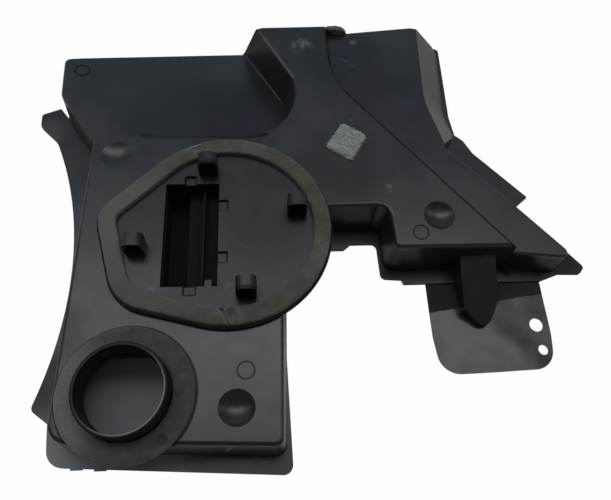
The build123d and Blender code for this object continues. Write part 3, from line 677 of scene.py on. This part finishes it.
def rounded(corners, radii, step=0.8):  # closed outline with its corners rounded
    out = []
    total = len(corners)
    for i, (corner, radius) in enumerate(zip(corners, radii)):
        here = Vector(corner)
        before = (Vector(corners[i - 1]) - here).normalized()
        after = (Vector(corners[(i + 1) % total]) - here).normalized()
        if radius <= 0:
            out.append(here)
            continue
        half = before.angle(after) / 2
        reach = radius / math.tan(half)
        centre = here + (before + after).normalized() * (radius / math.sin(half))
        first, last = here + before * reach, here + after * reach
        a0 = math.atan2(first.y - centre.y, first.x - centre.x)
        a1 = math.atan2(last.y - centre.y, last.x - centre.x)
        while a1 - a0 > math.pi:
            a1 -= 2 * math.pi
        while a1 - a0 < -math.pi:
            a1 += 2 * math.pi
        parts = max(3, int(abs(a1 - a0) * radius / step))
        out += [centre + Vector((math.cos(a0 + (a1 - a0) * k / parts),
                                 math.sin(a0 + (a1 - a0) * k / parts))) * radius
                for k in range(parts + 1)]
    return out


# felt patch with loose hairs over it
feltShape = {
    "corners": [(26.2, 58.5), (41.2, 48.2), (29.9, 28.9), (13.1, 39.9)],
    "cornerRadius": 1.5, "height": 1.7, "step": 1.1, "ragged": 0.45, "drawnIn": 0.2, "soft": 1.2,
    "hairs": 1500, "hairLength": 0.0030, "hairWidth": 0.00011, "seed": 4,
}
feltEdge = resample(rounded(feltShape["corners"], [feltShape["cornerRadius"]] * 4),
                    feltShape["step"])
feltEdge = [p + w * (rough((p.x, p.y, 0), 2.4, 1.0) * feltShape["ragged"] - feltShape["drawnIn"])
            for p, w in zip(feltEdge, outwardNormals(feltEdge))]
feltVerts, feltFaces = sheetFrom(feltEdge, [], feltShape["step"])


def feltTop(p):  # lower along its edge
    lift = min(1.0, min((p - q).length for q in feltEdge) / feltShape["soft"])
    return level["face"] + feltShape["height"] * (0.45 + 0.5 * lift) \
        + rough((p.x, p.y, 0), 3.1) * 0.1


feltPad = thickSheet("feltPad", feltVerts, feltFaces, lambda p: level["face"] + 0.02, feltTop,
                     feltPadLook, "felt_pad")

# foam block on the top wall, pulled round at its outer shoulder
padShape = {
    "corners": [(19.6, 4.2), (36.9, 4.2), (36.9, 30.9), (19.6, 30.9)],  # along the wall, height
    "radii": [1.5, 1.5, 8.0, 2.5], "wall": 150.9, "face": 156.2, "soft": 2.6, "crown": 1.9,
    "lump": 3.6, "ragged": 0.25, "torn": 0.5, "step": 1.2,
}
padEdge = resample(rounded(padShape["corners"], padShape["radii"]), padShape["step"])
padEdge = [p - w * padShape["ragged"] * (1 + rough((p.x, p.y, 0), padShape["lump"], 2.0))
           for p, w in zip(padEdge, outwardNormals(padEdge))]
padVerts, padFaces = sheetFrom(padEdge, [], padShape["step"])


def padFront(p):
    lift = min(1.0, min((p - q).length for q in padEdge) / padShape["soft"]) ** 0.5
    torn = min(0.0, rough((p.x, p.y, 0), padShape["lump"], 3.0)) * padShape["torn"]
    return padShape["face"] - (1 - lift) * padShape["crown"] + torn


edgePad = thickSheet("edgePad", padVerts, padFaces, lambda p: padShape["wall"], padFront, edgeFoam,
                     "edge_foam_pad", upright=True)
print("edge pad made")


def feltHairs(source, look, material):
    tree = bpy.data.node_groups.new("feltHairs", "GeometryNodeTree")
    tree.interface.new_socket("Geometry", in_out="INPUT", socket_type="NodeSocketGeometry")
    values = {"Hairs Per Square Metre": look["hairs"] / sum(p.area for p in source.data.polygons),
              "Hair Length": look["hairLength"], "Hair Width": look["hairWidth"],
              "Seed": look["seed"]}
    sockets = {}
    for name, value in values.items():
        kind = "NodeSocketInt" if isinstance(value, int) else "NodeSocketFloat"
        sockets[name] = tree.interface.new_socket(name, in_out="INPUT", socket_type=kind)
    tree.interface.new_socket("Geometry", in_out="OUTPUT", socket_type="NodeSocketGeometry")

    def add(kind, settings, inputs, out=0):
        made = tree.nodes.new(kind)
        for key, value in settings.items():
            setattr(made, key, value)
        for key, value in inputs.items():
            if isinstance(value, bpy.types.NodeSocket):
                tree.links.new(value, made.inputs[key])
            else:
                made.inputs[key].default_value = value
        return made.outputs[out]

    given = tree.nodes.new("NodeGroupInput").outputs
    points = add("GeometryNodeDistributePointsOnFaces", {}, {
        "Mesh": given["Geometry"], "Density": given["Hairs Per Square Metre"],
        "Seed": given["Seed"]})
    arc = add("GeometryNodeCurveQuadraticBezier", {}, {
        "Resolution": 4, "Start": (-0.5, 0, 0), "Middle": (0, 0.35, 0.45), "End": (0.5, 0, 0.05)})
    thickness = add("ShaderNodeMath", {"operation": "DIVIDE"},
                    {0: given["Hair Width"], 1: given["Hair Length"]})
    profile = add("GeometryNodeCurvePrimitiveCircle", {}, {"Resolution": 3, "Radius": thickness})
    hair = add("GeometryNodeCurveToMesh", {}, {"Curve": arc, "Profile Curve": profile})
    turn = add("FunctionNodeRandomValue", {"data_type": "FLOAT_VECTOR"},  # any way, nearly level
               {0: (-0.5, -0.5, 0), 1: (0.5, 0.5, 6.283), "Seed": given["Seed"]})
    share = add("FunctionNodeRandomValue", {}, {2: 0.5, 3: 1.2}, out=1)
    length = add("ShaderNodeMath", {"operation": "MULTIPLY"}, {0: share, 1: given["Hair Length"]})
    laid = add("GeometryNodeInstanceOnPoints", {}, {
        "Points": points, "Instance": hair, "Rotation": turn, "Scale": length})
    real = add("GeometryNodeRealizeInstances", {}, {"Geometry": laid})
    dressed = add("GeometryNodeSetMaterial", {}, {"Geometry": real, "Material": material})
    tree.links.new(dressed, tree.nodes.new("NodeGroupOutput").inputs["Geometry"])

    holder = putInScene("feltHairsHolder", source.data.copy())
    modifier = holder.modifiers.new("hairs", "NODES")
    modifier.node_group = tree
    for name, value in values.items():
        modifier[sockets[name].identifier] = value
    bpy.context.view_layer.update()
    graph = bpy.context.evaluated_depsgraph_get()
    data = bpy.data.meshes.new_from_object(holder.evaluated_get(graph))
    bpy.data.objects.remove(holder)
    return addPiece("feltHairs", data)


hairs = feltHairs(feltPad, feltShape, feltHairLook)
print("felt patch made:", len(hairs.data.polygons), "hair faces")

# flap: thin sheet under the tongue, slightly wavy, with two holes
flapShape = {
    "corners": [(79.0, -28.0), (79.0, -85.0), (82.0, -109.4), (156.5, -107.4), (158.6, -85.0),
                (158.6, -28.0)],
    "radii": [0, 12.0, 14.0, 15.0, 10.0, 0],
    "holes": [((149.9, -78.0), 4.6), ((151.0, -94.9), 3.4)], "holeSides": 40,
    "thick": 0.7, "foot": 0.1, "edgeStep": 1.6, "step": 2.6,
    "wave": 1.1, "free": -48.0, "freeOver": 45.0,  # flat above y = free, wavy from there down
}
flapEdge = resample(rounded(flapShape["corners"], flapShape["radii"]), flapShape["edgeStep"])
flapHoles = [circle(centre, radius, flapShape["holeSides"])
             for centre, radius in flapShape["holes"]]
flapVerts, flapFaces = sheetFrom(flapEdge, flapHoles, flapShape["step"])


def flapRise(p):  # flat under the body, rising and rippling toward the free edge
    free = max(0.0, min(1.0, (flapShape["free"] - p.y) / flapShape["freeOver"]))
    ripple = 0.5 + 0.5 * math.sin(p.x * 0.085 + p.y * 0.04 + 0.6)
    ripple += rough((p.x, p.y, 0), 26.0, 1.3) * 0.8
    return flapShape["foot"] + max(0.0, ripple) * flapShape["wave"] * free


flapPiece = thickSheet("flapPiece", flapVerts, flapFaces, flapRise,
                       lambda p: flapRise(p) + flapShape["thick"], flapSheet, "flap",
                       crisp=45)
print("flap made:", len(flapPiece.data.polygons), "faces")

# rounded foot where the wing's side wall meets its sloping floor
recessShape = {
    "rimTop": (-40.7, 161.2), "bend": (-5.3, 98.1), "corner": (-5.3, 48.4),
    "rimLeft": (-230.0, 50.6), "bendRadius": 25.0, "cornerRadius": 38.0, "draft": 21.0,
    "floorStart": (-112.0, 49.0), "downhill": (0.773, 0.634), "slope": 12.4,
    "footRadius": 1.6, "proud": 0.03, "arcParts": 8, "step": 1.6,
    "leftEnd": -99.0, "leftFade": 25.0, "topEnd": 145.4,
    "softFrom": 98.0, "softTo": 108.0,  # y where the foot widens from its tight corner
}


def recessFoot(name, shape, material):
    slopeUp = math.tan(math.radians(shape["slope"]))
    downhill = Vector(shape["downhill"])
    floorUp = Vector((*downhill * slopeUp, 1)).normalized()
    lean = math.radians(shape["draft"])
    parts = shape["arcParts"]

    def floorHeight(p):
        return level["face"] - (p - Vector(shape["floorStart"])).dot(downhill) * slopeUp

    ring = rounded([shape["rimTop"], shape["bend"], shape["corner"], shape["rimLeft"]],
                   [0, shape["bendRadius"], shape["cornerRadius"], 0], 1.2)
    rim = []
    for a, b in zip(ring, ring[1:]):
        pieces = max(1, int((b - a).length / shape["step"]))
        rim += [a.lerp(b, k / pieces) for k in range(pieces)]
    rows = []
    for before, p, after in zip(rim, rim[1:], rim[2:]):
        way = (after - before).normalized()
        inward = Vector((way.y, -way.x))
        reach = (level["face"] - floorHeight(p)) / (1 / math.tan(lean)
                                                    - slopeUp * inward.dot(downhill))
        foot = p + inward * reach
        if foot.x < shape["leftEnd"] or foot.y > shape["topEnd"]:
            continue
        corner = Vector((*foot, floorHeight(foot)))
        wallOut = Vector((*inward * math.cos(lean), math.sin(lean)))
        fade = min(1.0, (foot.x - shape["leftEnd"]) / shape["leftFade"])
        soft = (p.y - shape["softFrom"]) / (shape["softTo"] - shape["softFrom"])
        radius = shape["footRadius"] * max(0.08, fade * (0.3 + 0.7 * max(0.0, min(1.0, soft))))
        back = radius / math.cos(wallOut.angle(floorUp) / 2)
        centre = corner + (wallOut + floorUp).normalized() * back
        rows.append([(centre - wallOut.slerp(floorUp, k / parts) * (radius - shape["proud"])) * mm
                     for k in range(parts + 1)])
    verts = [tuple(v) for row in rows for v in row]
    wide = parts + 1
    faces = [(i * wide + k, i * wide + k + 1, (i + 1) * wide + k + 1, (i + 1) * wide + k)
             for i in range(len(rows) - 1) for k in range(parts)]
    data = bpy.data.meshes.new(name)
    data.from_pydata(verts, [], faces)
    data.update()
    if sum(p.normal.z for p in data.polygons) < 0:
        data.flip_normals()
    for polygon in data.polygons:
        polygon.use_smooth = True
    data.materials.append(material)
    return addPiece(name, data)


foot = recessFoot("recessFoot", recessShape, bodyPlastic)
print("recess foot made:", len(foot.data.polygons), "faces")

# every node gets its finish, and the two moulded ones stay in view with their own meshes
for nodeName, material in (("cover_body", bodyPlastic), ("socket_plate", platePlastic),
                           ("plate_gasket", gasketFoam), ("collar_gasket", ringFoam),
                           ("felt_pad", feltPadLook), ("flap", flapSheet),
                           ("edge_foam_pad", edgeFoam)):
    data = nodes[nodeName].data
    data.materials.clear()
    data.materials.append(material)
print("nodes dressed")

# floor, lights and camera
floorLook = {"colour": (0.55, 0.55, 0.54), "seen": 0.985, "mirrored": 0.12, "size": 6.0,
             "level": -0.0004}


def paleFloor(look):
    s = Shader("paleFloor")
    direct = s.node("LightPath", out="Is Camera Ray")
    glossy = s.node("LightPath", out="Is Glossy Ray")
    through = s.node("LightPath", out="Is Transmission Ray")
    seen = direct * look["seen"] + (glossy + through).clamp() * look["mirrored"]
    plain = s.node("BsdfDiffuse", {}, {"Color": (*look["colour"], 1)})
    glow = s.node("Emission", {}, {"Color": (1, 1, 1, 1), "Strength": 1.0})
    s.output(s.node("MixShader", {}, {0: seen.clamp(), 1: plain, 2: glow}))
    half = look["size"] / 2
    data = bpy.data.meshes.new("paleFloor")
    data.from_pydata([(x * half, y * half, look["level"])
                      for x, y in ((-1, -1), (1, -1), (1, 1), (-1, 1))], [], [(0, 1, 2, 3)])
    data.materials.append(s.material)
    putInScene("paleFloor", data)


paleFloor(floorLook)

# a long ceiling panel beyond the cover's upper edge, as the glints in the dimples show, the pale
# walls that carry it on to both sides, and a small panel at the right. All face straight down.
lamps = {
    "ceilingPanel": {"at": (-0.12, 0.615, 2.5), "size": (2.92, 1.07), "power": 26},
    "paleWall": {"at": (-2.4, 0.60, 2.52), "size": (7.2, 0.9), "power": 28},
    "farWall": {"at": (4.7, 0.60, 2.5), "size": (4.6, 0.9), "power": 32},
    "sidePanel": {"at": (1.66, 0.46, 2.5), "size": (0.62, 0.62), "power": 3.0},
}
for name, lamp in lamps.items():
    data = bpy.data.lights.new(name, "AREA")
    data.shape = "RECTANGLE"
    data.size, data.size_y = lamp["size"]
    data.energy = lamp["power"]
    putInScene(name, data).location = lamp["at"]
print("lamps hung:", len(lamps))

# room light: cool from beyond the upper edge, dim from the near side, pale low at the right.
# The turns are places on the sky, -1 to 1 along Y, X or Z.
roomLook = {"near": (0.22, 0.22, 0.22), "far": (0.45, 0.57, 0.70), "farTurn": (-0.25, 0.5),
            "rightDim": 0.8, "rightTurn": (0.36, 0.52),
            "horizon": (0.62, 0.63, 0.64), "horizonTurn": (0.02, 0.26), "horizonSide": (0.0, 0.5)}
room = Shader("studio", "worlds", "Generated")
sky = room.mix(room.part("Y").spread(*roomLook["farTurn"]), roomLook["near"], roomLook["far"])
sky = room.mix(room.part("X").spread(*roomLook["rightTurn"]) * roomLook["rightDim"],
               sky, roomLook["near"])
low = 1 - room.part("Z").spread(*roomLook["horizonTurn"])
sky = room.mix(low * room.part("X").spread(*roomLook["horizonSide"]), sky, roomLook["horizon"])
room.output(room.node("Background", {}, {"Color": sky, "Strength": 1.0}), "World")
bpy.context.scene.world = room.material

cameraLook = {"at": (-0.030, -0.182, 0.355), "turn": (24.5577, -3.5217, -2.5), "lens": 33.525}
camera = putInScene("camera", bpy.data.cameras.new("camera"))
camera.location = cameraLook["at"]
camera.rotation_euler = Euler([math.radians(a) for a in cameraLook["turn"]], "XYZ")
camera.data.lens = cameraLook["lens"]
camera.data.sensor_width = 36
camera.data.clip_start, camera.data.clip_end = 0.01, 20
bpy.context.scene.camera = camera
bpy.context.scene.view_settings.view_transform = "Standard"
print("stage set")
